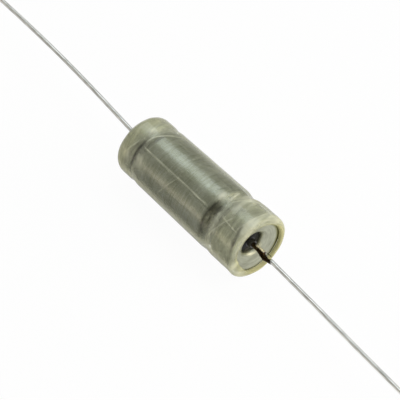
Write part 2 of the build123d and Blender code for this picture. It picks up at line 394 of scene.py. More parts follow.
def mouldedElastomer():
    # moulded black elastomer: half gloss with a faint skin of mould grain, glossier round the wire
    material, tree = newMaterial("mouldedElastomer")
    place = millimetres(tree)
    grain = addNode(tree, "ShaderNodeTexNoise", {"Scale": 1 / rubber["grainSize"], "Detail": 3.0},
                    {"Vector": place}).outputs["Fac"]
    low, high = rubber["roughness"]
    rough = addNode(tree, "ShaderNodeMapRange", {"To Min": low, "To Max": high}, {"Value": grain})
    bump = addNode(tree, "ShaderNodeBump", {"Strength": 0.5, "Distance": rubber["grainDepth"] * mm},
                   {"Height": grain})
    low, high = rubber["bossReach"]
    onBoss = addNode(tree, "ShaderNodeMapRange", {"From Min": low, "From Max": high},
                     {"Value": aroundAxis(tree, place)[0]})
    gloss = addNode(tree, "ShaderNodeMapRange", {"To Min": rubber["gloss"], "To Max": rubber["bossGloss"]},
                    {"Value": onBoss})
    rough = addNode(tree, "ShaderNodeMix", {"data_type": "FLOAT", 3: rubber["bossRoughness"]},
                    {0: onBoss, 2: rough})
    skin = addNode(tree, "ShaderNodeBsdfPrincipled",
                   {"Base Color": linearColour(rubber["colour"]), "IOR": rubber["ior"]},
                   {"Roughness": rough, "Specular IOR Level": gloss, "Normal": bump})
    addNode(tree, "ShaderNodeOutputMaterial", links={"Surface": skin})
    return material


highlightSide = (0, 0.875, 0.485)   # the side of the riser wire and the weld that gets a painted highlight, a pale colour for the light it catches
tantalum = {
    "oxide": "2b2112",
    "pale": "6f5d40",
    "paleFrom": (0.42, 0.72),
    "highlight": "eee7d6",
    "highlightFrom": (0.05, 0.16),      # in mm from the wire's axis towards its painted highlight side
    "outsideFrom": (12.7, 13.1),   # and only where it is out of the seal
    "roughness": 0.34,
    "grainSize": 0.35,
    "grainStretch": 0.35,          # the patches are drawn out along the wire
    "grainDepth": 0.02,
}


def heatTintedTantalum():
    # drawn tantalum wire, browned by the heat of its weld, with a painted highlight: pale colour along its
    # upper side
    material, tree = newMaterial("heatTintedTantalum")
    place = millimetres(tree)
    stretch = addNode(tree, "ShaderNodeVectorMath",
                      {"operation": "MULTIPLY", 1: (tantalum["grainStretch"], 1, 1)}, {0: place})
    patches = addNode(tree, "ShaderNodeTexNoise", {"Scale": 1 / tantalum["grainSize"], "Detail": 4.0},
                      {"Vector": stretch}).outputs["Fac"]
    low, high = tantalum["paleFrom"]
    colour = addNode(tree, "ShaderNodeValToRGB", {"stops": [
        (low, linearColour(tantalum["oxide"])), (high, linearColour(tantalum["pale"]))]}, {"Fac": patches})
    x = addNode(tree, "ShaderNodeSeparateXYZ", links={0: place}).outputs["X"]
    low, high = tantalum["outsideFrom"]
    outside = addNode(tree, "ShaderNodeMapRange", {"From Min": low, "From Max": high}, {"Value": x})
    # painted highlight: pale colour along the wire's upper side, out of the seal
    inHighlight = addNode(tree, "ShaderNodeMath", {"operation": "MULTIPLY"},
                     {0: sideShare(tree, place, highlightSide, tantalum["highlightFrom"]), 1: outside})
    colour = addNode(tree, "ShaderNodeMix", {"data_type": "RGBA", 7: linearColour(tantalum["highlight"])},
                     {0: inHighlight, 6: colour})
    bump = addNode(tree, "ShaderNodeBump", {"Strength": 0.5, "Distance": tantalum["grainDepth"] * mm},
                   {"Height": patches})
    skin = addNode(tree, "ShaderNodeBsdfPrincipled", {"Metallic": 1.0, "Roughness": tantalum["roughness"]},
                   {"Base Color": colour.outputs[2], "Normal": bump})
    addNode(tree, "ShaderNodeOutputMaterial", links={"Surface": skin})
    return material


tin = {
    "bright": "e8e8e4",
    "dull": "b4b4af",
    "brightFrom": (0.35, 0.60),
    "roughness": 0.24,
    "drawSize": 0.12,
    "drawStretch": 0.08,       # its lines run along the wire
    "drawDepth": 0.006,
    "scale": "2a2013",         # brown heat scale on the weld
    "scaleTo": (16.50, 16.65),   # it ends about here along x
    "raggedSize": 5 / 12,
    "ragged": 0.6,             # its edge wanders by this
    "shorter": 0.9,            # and draws back by this share of the way towards the side with the painted highlight
    "highlightFrom": (0.18, 0.30),
    "highlightRagged": 0.25,
    "highlightTo": (14.66, 14.58),
}


def tinnedNickel(welded=False):
    # nickel wire with a bright dipped tin coat, drawn lines along it, and scale near a weld, with a painted
    # highlight on the weld's upper side
    material, tree = newMaterial("tinnedNickelWelded" if welded else "tinnedNickel")
    place = millimetres(tree)
    stretch = addNode(tree, "ShaderNodeVectorMath",
                      {"operation": "MULTIPLY", 1: (tin["drawStretch"], 1, 1)}, {0: place})
    drawn = addNode(tree, "ShaderNodeTexNoise", {"Scale": 1 / tin["drawSize"], "Detail": 3.0},
                    {"Vector": stretch}).outputs["Fac"]
    low, high = tin["brightFrom"]
    colour = addNode(tree, "ShaderNodeValToRGB", {"stops": [
        (low, linearColour(tin["dull"])), (high, linearColour(tin["bright"]))]}, {"Fac": drawn})
    if welded:
        x = addNode(tree, "ShaderNodeSeparateXYZ", links={0: place}).outputs["X"]
        ragged = addNode(tree, "ShaderNodeTexNoise", {"Scale": 1 / tin["raggedSize"], "Detail": 3.0},
                         {"Vector": place}).outputs["Fac"]
        upper = addNode(tree, "ShaderNodeVectorMath", {"operation": "DOT_PRODUCT", 1: highlightSide},
                        {0: place}).outputs["Value"]
        edge = addNode(tree, "ShaderNodeMath", {"operation": "MULTIPLY_ADD", 1: tin["ragged"]},
                       {0: ragged, 2: x})
        edge = addNode(tree, "ShaderNodeMath", {"operation": "MULTIPLY_ADD", 1: tin["shorter"]},
                       {0: upper, 2: edge})
        # painted highlight: pale colour on the weld's upper side
        highlight = addNode(tree, "ShaderNodeMath", {"operation": "MULTIPLY_ADD", 1: tin["highlightRagged"]},
                       {0: ragged, 2: upper})
        pastScale, highlight, before = [
            addNode(tree, "ShaderNodeMapRange", {"From Min": tin[span][0], "From Max": tin[span][1]},
                    {"Value": source})
            for span, source in (("scaleTo", edge), ("highlightFrom", highlight), ("highlightTo", x))]
        highlight = addNode(tree, "ShaderNodeMath", {"operation": "MULTIPLY"}, {0: highlight, 1: before})
        weldColour = addNode(tree, "ShaderNodeMix", {"data_type": "RGBA", 6: linearColour(tin["scale"]),
                                                     7: linearColour(tantalum["highlight"])}, {0: highlight})
        colour = addNode(tree, "ShaderNodeMix", {"data_type": "RGBA"},
                         {0: pastScale, 6: weldColour.outputs[2], 7: colour}).outputs[2]
    bump = addNode(tree, "ShaderNodeBump", {"Strength": 0.4, "Distance": tin["drawDepth"] * mm},
                   {"Height": drawn})
    skin = addNode(tree, "ShaderNodeBsdfPrincipled", {"Metallic": 1.0, "Roughness": tin["roughness"]},
                   {"Base Color": colour, "Normal": bump})
    addNode(tree, "ShaderNodeOutputMaterial", links={"Surface": skin})
    return material


inner = {
    # material name, colour, roughness, metallic and grain size
    "fluoropolymer": ("turnedFluoropolymer", "e6e8e2", 0.5, 0.0, 0.3),
    "slug": ("sinteredTantalum", "55565a", 0.75, 0.6, 0.08),
    "gel": ("cloudyAcidGel", "d9dcd4", 0.2, 0.0, 0.8),
    "shade": 0.8,              # how dark the grain gets
    "shadeFrom": (0.3, 0.7),
}


def innerFinish(name, colourText, roughness, metallic, grainSize):
    # the pieces sealed in the case: waxy turned plastic, porous sintered metal and cloudy gel
    material, tree = newMaterial(name)
    grain = addNode(tree, "ShaderNodeTexNoise", {"Scale": 1 / grainSize, "Detail": 3.0},
                    {"Vector": millimetres(tree)})
    full = linearColour(colourText)
    darker = [inner["shade"] * c for c in full[:3]] + [1.0]
    low, high = inner["shadeFrom"]
    colour = addNode(tree, "ShaderNodeValToRGB", {"stops": [(low, darker), (high, full)]},
                     {"Fac": grain.outputs["Fac"]})
    skin = addNode(tree, "ShaderNodeBsdfPrincipled", {"Metallic": metallic, "Roughness": roughness},
                   {"Base Color": colour})
    addNode(tree, "ShaderNodeOutputMaterial", links={"Surface": skin})
    return material


sleeve = {
    "wall": 0.11,
    "radius": 4.89,
    "farLipWidth": 1.61,
    "farCorner": 1.33,
    "farDipPlace": -9.575,
    "farDipHalf": 1.10,
    "farDip": 0.12,
    "nearDipPlace": 7.205,
    "nearDipHalf": 1.40,
    "flare": 0.33,
    "nearLipWidth": 0.69,
    "lipOuterRound": 0.62,
    "lipInnerRound": 0.25,
    "lipSlope": 0.10,
    "lipEdgeDepth": 0.50,
    "turnedLength": 2,            # what is turned in lies within this of the mouth's end
    # the turned-in edge is uneven: its radius at each angle from +Y towards +Z
    "edgeRadii": [(0, 4.20), (45, 4.08), (90, 4.12), (125, 4.10), (160, 3.75), (202, 3.30), (222, 3.55),
                  (240, 4.00), (258, 4.38), (276, 4.52), (295, 4.46), (315, 4.30), (360, 4.20)],
    "edgeBehind": (0.7, 0.3),     # how far behind the mouth's end it begins to be uneven, and is in full
    "dishSlope": 0.2943,          # of the silver that it lies on
    "shoulder": (4.16, 0.60),     # the silver's rounded shoulder: the radius where its middle is, its round
    "shoulderFrom": 3.99,
    "shoulderMost": 0.8,          # the film follows this share of it
    "shoulderBehind": (0.2, 0.5),
    "step": 0.13,
    "segments": 216,              # 904 triangles each, and 200,000 is the most for one piece
}

# how the shrunk film differs from a turned shape: places in mm along x, angles in degrees from +Y to +Z
shrinkage = {
    "tubeFrom": (3.6, 4.4),   # distance from the axis: less is on the turned ends
    "dipReach": 1.05,         # a dip reaches this far, as a share of its half width
    "deepAngle": 92,          # the near dip is deepest here, and all but bridged on the other side
    "deepSpread": 75,
    "deepest": 0.42,
    "bridged": 0.08,
    "ripple": 0.012,          # long shallow waves over the barrel
    "looseRipple": 0.035,     # and where the film is loose: at both ends and over the dips
    "waves": (0.42, 2.1, 0),  # how fast a pattern changes along x and round the film, and its own place
    "flutter": 0.0175,
    "flutters": (1.3, 5, 7),
    "looseNear": (5.2, 6.6),
    "looseFar": (-8.0, -9.6),
    "shoulderAngle": 29,      # the collar by the mouth stands a little further out on this side
    "shoulderLift": 0.06,
    "shoulderSpan": ((8.4, 10), (13.2, 12.2)),
    "crestLean": 0.14,        # the turned end leans back on the other side
    "crestFrom": (12.6, 13.5),
    "gatheredAngle": 138,     # wrinkles run round the near half of the near dip, where the film was gathered
    "gatheredSpread": 42,
    "gatheredSpan": ((6.9, 7.6), (9.3, 8.4)),
    "wrinkleHeight": 0.06,
    "wrinkleGap": 0.34,
    "wrinkleSlant": 0.016,
    "wrinkleBreak": 0.05,     # how soon one wrinkle gives way to the next, a degree
    "wrinkleMilk": 0.30,
    "crestsFrom": (0.62, 0.95),
    "layFlat": (122.4, 302.4),   # the tube was stored flat, and its two folds stay as fine lines
    "foldSpan": ((-9.4, -8.2), (5.6, 4.4)),
    "foldHeight": 0.03,
    "foldWidth": 0.10,
    "foldMilk": 0.90,
    "foldStray": 1.1,         # it wanders by this, in degrees
    "foldStrayRate": 0.22,
    "foldShows": 0.65,        # it comes and goes along its length
    "foldShowsMore": 0.5,
    "foldShowsRate": 0.5,
    "creaseLimit": 3,         # how many times its width a crease reaches
    "creaseEnds": 0.05,       # what is left off its fading ends
    "darkDepth": 0.03,        # the dark creases are pressed in by this
    "darkShows": 0.8,
    "darkShowsMore": 0.5,
    "darkShowsRates": (2.1, 0.09),
    "milkLevel": 0.98,
    "milkUneven": 0.45,
    "milkDrift": (0.7, 2.6, 11),
    "milkMottled": 0.55,
    "milkMottle": (2.4, 3.5, 4),
    "mottleFrom": (7, 9),     # it is mottled only beyond the dips
    "most": 0.9,              # the most milk or painted shade
}

# fine creases in the film: their points as (x, angle), then height, width and milkiness
creases = [
    ([(-9.55, 114), (-9.35, 98), (-8.15, 76), (-6.6, 48)], 0.035, 0.10, 0.60),
    ([(-3.9, 182), (-2.1, 142), (-0.8, 108)], 0.018, 0.07, 0.28),
    ([(7.7, 166), (9.2, 127), (9.9, 111)], 0.030, 0.09, 0.55),
    ([(8.5, 119), (10.0, 122), (11.9, 124)], 0.030, 0.08, 0.60),
    ([(11.7, 118), (12.0, 103), (12.15, 80), (12.1, 56)], 0.045, 0.10, 0.50),
    ([(7.3, 110), (7.55, 86), (8.4, 72), (9.3, 62)], 0.030, 0.12, 0.45),
    # painted highlight: a pale streak for a glint on the film at the dip's bottom
    ([(6.98, 95), (6.82, 80), (6.6, 64)], 0.050, 0.15, 0.75),
    ([(-11.7, 155), (-10.75, 127), (-10.2, 110)], 0.020, 0.09, 0.34),
    ([(1.6, 150), (4.9, 134)], 0.010, 0.07, 0.18),
    ([(-7.4, 92), (-5.2, 60)], 0.010, 0.07, 0.18),
    ([(-1.5, 84), (2.6, 52)], 0.010, 0.06, 0.20),
    ([(3.4, 104), (5.0, 70)], 0.010, 0.06, 0.20),
]

# milky patches: the place (x, angle), how far they reach in mm and in degrees, and their share
clouds = [
    # painted highlight: these two brighten the lip's upper shoulder
    (12.75, 58, 0.60, 62, 0.60),
    (12.50, 104, 0.60, 17, 0.55),
    (13.1, 170, 0.60, 38, -0.20),
    (13.0, 220, 0.70, 18, 0.34),
    (13.1, 275, 0.50, 35, 0.30),
    (13.2, 330, 0.45, 60, 0.36),
    (-12.0, 176, 1.9, 36, 0.44),
    (-12.0, 150, 1.3, 13, 0.26),
    (-11.9, 96, 1.1, 22, 0.22),
    (-11.2, 60, 1.2, 30, 0.10),
    # painted highlight on the far collar
    (-10.4, 91, 0.45, 8, 0.45),
    (-8.8, 141, 0.6, 8, 0.40),
    # painted warm light on the barrel by the far dip
    (-8.4, 149, 1.3, 16, 0.46),
    # painted highlight on the barrel before the near dip
    (5.8, 93, 0.50, 10, 0.75),
    (6.45, 138, 0.20, 5, 0.55),
    (7.8, 126, 0.45, 17, 0.24),
    (8.0, 150, 0.40, 9, 0.22),
    (7.9, 40, 0.8, 40, 0.16),
    (8.6, 40, 1.2, 40, 0.22),
    (9.6, 68, 1.2, 28, 0.12),
    (-1.0, 188, 40, 11, 0.50),
]

# dark creases, painted shade: their points as (x, angle), width and share
darkCreases = [
    ([(11.80, 106), (12.02, 118), (12.42, 137), (12.86, 154), (13.0, 172)], 0.33, 0.60),
    ([(5.75, 118), (5.95, 140), (6.35, 158)], 0.30, 0.36),
    ([(6.2, 105), (6.1, 121), (6.0, 131)], 0.19, 0.85),
    ([(6.45, 104), (6.42, 122), (6.4, 148)], 0.32, 0.50),
    ([(6.95, 106), (6.55, 124), (6.78, 140), (6.6, 153)], 0.13, 0.78),
    ([(6.1, 144), (6.15, 156), (6.7, 168)], 0.16, 0.66),
    ([(7.45, 104), (7.2, 118), (7.0, 130)], 0.12, 0.66),
    ([(7.1, 142), (7.2, 152), (7.7, 164)], 0.09, 0.50),
    ([(8.7, 108), (9.8, 92), (10.4, 84)], 0.08, 0.26),
    ([(8.3, 146), (9.0, 132), (9.7, 118)], 0.10, 0.30),
    ([(-9.60, 112), (-9.84, 130), (-9.78, 148), (-9.76, 164)], 0.18, 1.15),
    ([(-10.3, 118), (-10.6, 140), (-10.4, 160)], 0.20, 0.30),
]

# how milky the film is from end to end: (x, share)
milkiness = [(-13.6, 0.40), (-13.0, 0.30), (-12.0, 0.20), (-10.9, 0.16), (-10.2, 0.10), (-9.2, 0.18),
             (-8.2, 0.08), (-5.0, 0.05), (4.5, 0.05), (5.8, 0.04), (7.0, 0.04), (7.4, 0.24), (8.6, 0.30),
             (10.0, 0.16), (11.4, 0.15), (11.9, 0.22), (12.4, 0.22), (13.1, 0.36), (13.6, 0.50)]


def readOff(table, place):
    for (a, low), (b, high) in zip(table, table[1:]):
        if place <= b:
            return low + (high - low) * max(0.0, (place - a) / (b - a))
    return table[-1][1]


def sleeveProfile():
    s = sleeve
    edge = s["radius"] - s["nearLipWidth"]
    return roundedLine([
        (farX, s["radius"] - s["farLipWidth"], 0),
        (farX, s["radius"], s["farCorner"]),
        (mouthX, s["radius"] + s["flare"], s["lipOuterRound"]),
        (mouthX, edge + s["lipSlope"], s["lipInnerRound"]),
        (mouthX - s["lipEdgeDepth"], edge, 0),
    ], s["step"])


def nearestOnLine(points, x, angle, limit):
    # distance in mm from a place on the film to a crease, and how far along the crease that is, from 0 to 1
    arc = math.radians(1) * sleeve["radius"]
    best = (1e9, 0.0)
    if not min(p[0] for p in points) - limit < x < max(p[0] for p in points) + limit:
        return best
    for i, (a, b) in enumerate(zip(points, points[1:])):
        start = Vector((a[0], turnBetween(a[1], angle) * arc))
        run = Vector((b[0] - a[0], (b[1] - a[1]) * arc))
        share = min(1.0, max(0.0, (Vector((x, 0)) - start).dot(run) / run.length_squared))
        gap = (start + run * share - Vector((x, 0))).length
        best = min(best, (gap, (i + share) / (len(points) - 1)))
    return best


def creaseShare(points, width, x, angle):
    # 1 on a crease, falling off to its sides and towards both its ends
    limit = shrinkage["creaseLimit"] * width
    gap, along = nearestOnLine(points, x, angle, limit)
    if gap >= limit:
        return 0.0
    fromEnd = along * (1 - 2 * shrinkage["creaseEnds"]) + shrinkage["creaseEnds"]
    return bell(gap, width) * math.sin(math.pi * fromEnd) ** 0.5


def filmForm(x, radius, angle):
    # what shrinking does at one place: lift off the turned shape, shift along x, milkiness and painted shade
    k, s = shrinkage, sleeve
    turn = math.radians(angle)
    around = Vector((math.cos(turn), math.sin(turn), 0))

    def pattern(alongRate, roundRate, own):
        return noise.noise(Vector((x * alongRate, own, 0)) + around * roundRate)

    milk = readOff(milkiness, x)
    side = smoothStep(*k["tubeFrom"], radius)  # 1 on the tube, 0 on the turned ends
    deep = smoothStep(0, 1, 1 - abs(turnBetween(angle, k["deepAngle"])) / (2 * k["deepSpread"]))
    nearShare = max(0.0, 1 - abs(x - s["nearDipPlace"]) / (s["nearDipHalf"] * k["dipReach"]))
    farShare = max(0.0, 1 - abs(x - s["farDipPlace"]) / (s["farDipHalf"] * k["dipReach"]))
    lift = -(k["bridged"] + (k["deepest"] - k["bridged"]) * deep) * smoothStep(0, 1, nearShare)
    lift -= s["farDip"] * smoothStep(0, 1, farShare)
    loose = max(smoothStep(*k["looseNear"], x), smoothStep(*k["looseFar"], x)) * side
    lift += pattern(*k["waves"]) * (k["ripple"] + k["looseRipple"] * loose)
    lift += k["flutter"] * loose * pattern(*k["flutters"])
    outward = math.cos(turn - math.radians(k["shoulderAngle"]))
    lift += k["shoulderLift"] * outward * within(x, *k["shoulderSpan"]) * side
    gathered = within(x, *k["gatheredSpan"]) * side
    gathered *= bell(turnBetween(angle, k["gatheredAngle"]), k["gatheredSpread"])
    if gathered > 0.01:
        slanted = x / k["wrinkleGap"] + angle * k["wrinkleSlant"]
        ridge = 1 - abs(2 * noise.noise(Vector((slanted, angle * k["wrinkleBreak"], 3))))
        lift += k["wrinkleHeight"] * gathered * (ridge - 0.5)
        milk += k["wrinkleMilk"] * gathered * smoothStep(*k["crestsFrom"], ridge)
    for place, middle, reach, spread, share in clouds:
        milk += share * bell(x - place, reach) * bell(turnBetween(angle, middle), spread) * side
    for fold in k["layFlat"]:
        strayed = fold + k["foldStray"] * noise.noise(Vector((x * k["foldStrayRate"], 5, fold)))
        gap = abs(turnBetween(angle, strayed)) * math.radians(1) * radius
        shows = k["foldShows"] + k["foldShowsMore"] * noise.noise(Vector((x * k["foldShowsRate"], 1, 2)))
        shows *= within(x, *k["foldSpan"]) * side
        lift += k["foldHeight"] * bell(gap, k["foldWidth"]) * shows
        milk += k["foldMilk"] * bell(gap, k["foldWidth"]) * shows
    for points, height, width, cloud in creases:
        share = creaseShare(points, width, x, angle) * side
        lift += height * share
        milk += cloud * share
    paintedShade = 0.0
    for points, width, dark in darkCreases:
        share = creaseShare(points, width, x, angle) * side
        if share > 0:
            alongRate, roundRate = k["darkShowsRates"]
            ragged = noise.noise(Vector((x * alongRate, angle * roundRate, 9)))
            ragged = k["darkShows"] + k["darkShowsMore"] * ragged
            paintedShade = max(paintedShade, dark * share * ragged)
            lift -= k["darkDepth"] * share
    milk *= k["milkLevel"] + k["milkUneven"] * pattern(*k["milkDrift"])
    milk *= 1 + k["milkMottled"] * side * pattern(*k["milkMottle"]) * smoothStep(*k["mottleFrom"], abs(x))
    lean = -k["crestLean"] * (0.5 - 0.5 * outward) * smoothStep(*k["crestFrom"], x)
    return lift, lean, min(k["most"], max(0.0, milk)), min(k["most"], max(0.0, paintedShade))


def turnedIn(spot, angle):
    # moves the turned-in end along the dished mouth, to where its edge is at this angle
    s = sleeve
    if spot.x < mouthX - s["turnedLength"] or spot.y > s["radius"]:
        return spot
    usual = s["radius"] - s["nearLipWidth"]
    share = (s["radius"] - spot.y) / (s["radius"] - usual)
    share *= smoothStep(mouthX - s["edgeBehind"][0], mouthX - s["edgeBehind"][1], spot.x)
    moved = spot.copy()
    moved.y += (readOff(s["edgeRadii"], angle) - usual) * share
    moved.x += (moved.y - spot.y) * s["dishSlope"]
    # and down on to the silver where its shoulder rounds off under the edge
    middle, size = s["shoulder"]
    if moved.y > s["shoulderFrom"]:
        reach = min(moved.y - middle, s["shoulderMost"] * size)
        dish = (moved.y - s["shoulderFrom"]) * s["dishSlope"]
        start = math.sqrt(size ** 2 - (s["shoulderFrom"] - middle) ** 2)
        away = dish + start - math.sqrt(size ** 2 - reach ** 2)
        moved.x -= away * smoothStep(mouthX - s["shoulderBehind"][0], mouthX - s["shoulderBehind"][1], spot.x)
    return moved


paint = {
    "innerMilk": 0.4,                # the inner side is less milky
    # past the end of the can the turned-in lip is milky right through, round about this angle
    "lipAngle": 320,
    "lipFrom": (0.40, 0.75),
    "lipX": 12.9,
    "lipReach": (4.78, 4.60),
    "lipMilk": 0.88,
    # and a little painted shade on the turned lip
    "lipShade": 0.10,
    "behindFrom": (12.3, 12.6),      # and so is its inner side
    "behindMilk": 0.80,
    "cutX": 12,
    "cutReach": (4.75, 4.45),
    "silverReach": (4.3, 4.7),
    "silverTo": (12.9, 12.2),
    "yellowAngle": 300,              # yellower on the side that faces down in the photo
    "yellowMouth": (12.7, 13.3),
    "yellowLeast": 0.05,
    "yellowPower": 1.5,
    "yellowFar": (-10.6, -11.6),
    "yellowFarMost": 0.40,
    "yellowCollar": (7.0, 8.0),
    "yellowCollarMost": 0.35,
}


def filmPaint(point, spot, turn, inside, milk, paintedShade):
    # the share of each of the film's layers at one point
    p = paint
    lipSide = smoothStep(*p["lipFrom"], towardsAngle(turn, p["lipAngle"]))
    turned = lipSide * smoothStep(*p["lipReach"], point.y) if point.x > p["lipX"] else 0.0
    behind = lipSide * smoothStep(*p["behindFrom"], point.x) if inside else 0.0
    cut = smoothStep(*p["cutReach"], point.y) if point.x > p["cutX"] else 0.0
    lower = towardsAngle(turn, p["yellowAngle"])
    mouthYellow = p["yellowLeast"] + (1 - p["yellowLeast"]) * lower ** p["yellowPower"]
    return {
        "milkiness": max(milk * (p["innerMilk"] if inside else 1), p["lipMilk"] * turned,
                         p["behindMilk"] * behind),
        "overSilver": 0.0 if inside else (smoothStep(*p["silverReach"], point.y)
                                          * smoothStep(*p["silverTo"], spot.x)),
        "yellowing": max(mouthYellow * smoothStep(*p["yellowMouth"], spot.x),
                         p["yellowFarMost"] * smoothStep(*p["yellowFar"], spot.x),
                         p["yellowCollarMost"] * smoothStep(*p["yellowCollar"], spot.x) * lower,
                         turned, behind),
        "paintedShade": max(0.0 if inside else paintedShade, p["lipShade"] * turned),
        "cutEdge": max(turned, cut),
    }


def shrunkSleeve(material):
    outer = sleeveProfile()
    build = bmesh.new()
    layers = {name: build.verts.layers.float.new(name) for name in filmLayers}
    count, last = sleeve["segments"], len(outer) - 1
    normals = []
    for i in range(last + 1):
        along = (outer[min(last, i + 1)] - outer[max(0, i - 1)]).normalized()
        normals.append(Vector((-along.y, along.x)))
    # out along the outer side, back along the inner one
    stations = [(i, 0.0) for i in range(last + 1)] + [(i, sleeve["wall"]) for i in range(last, -1, -1)]
    forms = [[filmForm(p.x, p.y, 360 * j / count) for j in range(count)] for p in outer]
    rings = []
    for i, depth in stations:
        point, normal, ring = outer[i], normals[i], []
        for j in range(count):
            lift, lean, milk, paintedShade = forms[i][j]
            turn = 2 * math.pi * j / count
            spot = turnedIn(point + normal * (lift - depth), 360 * j / count)
            vert = build.verts.new(((spot.x + lean) * mm, spot.y * math.cos(turn) * mm,
                                    spot.y * math.sin(turn) * mm))
            for name, share in filmPaint(point, spot, turn, depth > 0, milk, paintedShade).items():
                vert[layers[name]] = share
            ring.append(vert)
        rings.append(ring)
    for a, b in zip(rings, rings[1:] + rings[:1]):
        for j in range(count):
            k = (j + 1) % count
            build.faces.new((a[j], b[j], b[k], a[k]))
    bmesh.ops.recalc_face_normals(build, faces=build.faces)
    return meshObject("shrunkSleeve", build, material, "clear_film", "insulating_sleeve")


weld = {
    "riserRadius": 0.402,
    "start": 13.55,          # the braze has run back along the riser wire
    "socketEnd": 14.56,
    "middle": 14.8538,
    # along x: how far the weld stands out on the upper side, and on the other, where it has run down
    "upper": [(13.55, 0.415), (14.60, 0.415), (14.85, 0.12), (15.1, 0.03), (15.7, 0.0), (15.95, 0.04),
              (16.1, 0.16), (16.22, 0.30), (16.45, 0.32)],
    "lower": [(13.55, 0.415), (13.75, 0.47), (14.1, 0.54), (14.45, 0.63), (14.7, 0.68), (15.0, 0.75),
              (15.3, 0.73), (15.6, 0.61), (15.9, 0.50), (16.2, 0.45), (16.5, 0.40), (16.75, 0.32)],
    "end": 16.8,
    "pastEnd": 0.1,
    "seam": 0.001,           # between the socket's mouth and the first ring outside it
    "rings": 60,
    "upperAngle": 29,
    "lumps": 0.10,           # how high its lumps are
    "lumpRates": (2.2, 2.1),
    "lumpsFade": 0.7,
    "noHollows": 0.1,        # over the socket, which has a thin wall, and this far past it
    "leadAngle": -2.9,
    "leadBend": (14.5, 15.6),
    "leadRadius": 0.32,
    "leadFrom": 17.6,
    "leadStep": 1.0,
    "tipLength": 1.2,        # the last of the lead, which has no rings along it
    "tipChamfer": 0.06,
    "segments": 28,
    "kink": 0.02,            # how far the soft wire wanders from straight
    "kinkRate": 0.31,
    "kinkFrom": (17, 24),
    # a thin burr that stands off the weld: along x, how far out it is and its radius
    "burr": [(14.66, 0.34, 0.02), (14.9, 0.41, 0.035), (15.5, 0.43, 0.04), (15.85, 0.41, 0.03),
             (16.0, 0.39, 0.01)],
    "burrSegments": 8,
}


def tube(build, places, segments, form):
    # rings of form(place, turn) one after another, in mm, closed at both ends
    rings = [[build.verts.new([c * mm for c in form(place, 2 * math.pi * j / segments)])
              for j in range(segments)] for place in places]
    for a, b in zip(rings, rings[1:]):
        for j in range(segments):
            k = (j + 1) % segments
            build.faces.new((a[j], a[k], b[k], b[j]))
    build.faces.new(rings[0][::-1])
    build.faces.new(rings[-1])


def weldedLead(material):
    # a plain wire from a lumpy weld on the riser wire, with a thin burr standing off it
    w = weld
    slope = math.tan(math.radians(w["leadAngle"]))
    build = bmesh.new()
    side = math.radians(w["upperAngle"])
    towardsUpper = Vector((math.cos(side), math.sin(side)))

    def ring(place, turn):
        x, upper, lower = place
        radius, shift = (upper + lower) / 2, (upper - lower) / 2
        if w["start"] < x < w["end"]:
            alongRate, roundRate = w["lumpRates"]
            lump = noise.noise(Vector((x * alongRate, roundRate * math.cos(turn), roundRate * math.sin(turn))))
            if x < w["socketEnd"] + w["noHollows"]:
                lump = max(0.0, lump)
            radius += w["lumps"] * smoothStep(w["end"], w["end"] - w["lumpsFade"], x) * lump
        bend = slope * (x - w["middle"]) * smoothStep(*w["leadBend"], x)
        bend += w["kink"] * math.sin(x * w["kinkRate"]) * smoothStep(*w["kinkFrom"], x)
        spot = towardsUpper * shift + Vector((bend + radius * math.cos(turn), radius * math.sin(turn)))
        return x, spot.x, spot.y

    def burrRing(place, turn):
        x, off, radius = place
        spot = towardsUpper * off + Vector((radius * math.cos(turn), radius * math.sin(turn)))
        return x, spot.x, spot.y

    wire, bore = w["leadRadius"], w["riserRadius"]
    places = [(w["socketEnd"], bore, bore), (w["start"], bore, bore)]
    for i in range(w["rings"] + 1):
        x = w["start"] + w["seam"] + (w["end"] + w["pastEnd"] - w["start"]) * i / w["rings"]
        places.append((x, readOff(w["upper"], x), readOff(w["lower"], x)))
    x = w["leadFrom"]
    while x < leadTipX - w["tipLength"]:
        places.append((x, wire, wire))
        x += w["leadStep"]
    reach = wire * abs(math.sin(math.radians(w["leadAngle"])))
    places += [(leadTipX - reach - w["tipChamfer"], wire, wire),
               (leadTipX - reach, wire - w["tipChamfer"], wire - w["tipChamfer"])]
    tube(build, places, w["segments"], ring)
    tube(build, w["burr"], w["burrSegments"], burrRing)
    bmesh.ops.recalc_face_normals(build, faces=build.faces)
    return meshObject("weldedLead", build, material, "tinned_wire", "positive_lead")


stage = {
    "floorHalf": 3.0,
    "floorGap": 0.01,         # under the sleeve, in mm
    "paper": "f4f4f2",
    "cameraWhite": 0.96,
    "glossShare": 0.85,       # how much of the paper metal sees as glare
    "glossWhite": 0.95,       # its strength in front of the mouth and behind the body
    "glossDim": 0.36,         # and on the shaded side
    "glareBehind": (-4.0, 16.0),   # places in mm along +Y
    "glareFades": (8.0, 21.0),
    "glareLeast": 0.28,
    "glareBelow": (-9.5, -6.0, 0.55),
    "glareFront": (10.5, 13.5, 1.0),   # and along +X
    "room": "b8b8b3",
    "roomDark": "484845",     # dark room round the camera and on its left
    "roomBright": "f6f6ee",   # white wall in front of the mouth
    "brightSide": ((0.72, 0.66, 0.16), (0.45, 0.85)),
    "darkSides": (((0.511, -0.42, 0.75), (0.55, 0.95)), ((0.42, -0.85, 0.33), (0.72, 0.95))),
}

# lamps that face the body: place, width and height in mm, then strength and colour
lamps = {
    "softbox": ((0, 118, 300), (600, 190), 1.5, "ecf6ff"),
    "warmCard": ((-150, -330, 25), (420, 70), 0.9, "ffeedd"),
    "frontCard": ((240, 178, 139), (360, 145), 2.7, "fff3e6"),
    "lowCard": ((300, -230, 112), (400, 200), 1.5, "fff9ea"),
}

viewpoint = {  # fitted to the body's outline in the photograph
    "azimuth": -39.38,
    "elevation": 48.57,
    "distance": 386.9,
    "pixelsPerMm": 6.9255,
    "frame": 400,
    "originRight": -1.55,
    "originUp": 5.65,
    "sensor": 36,
    "clip": (0.01, 20),
}


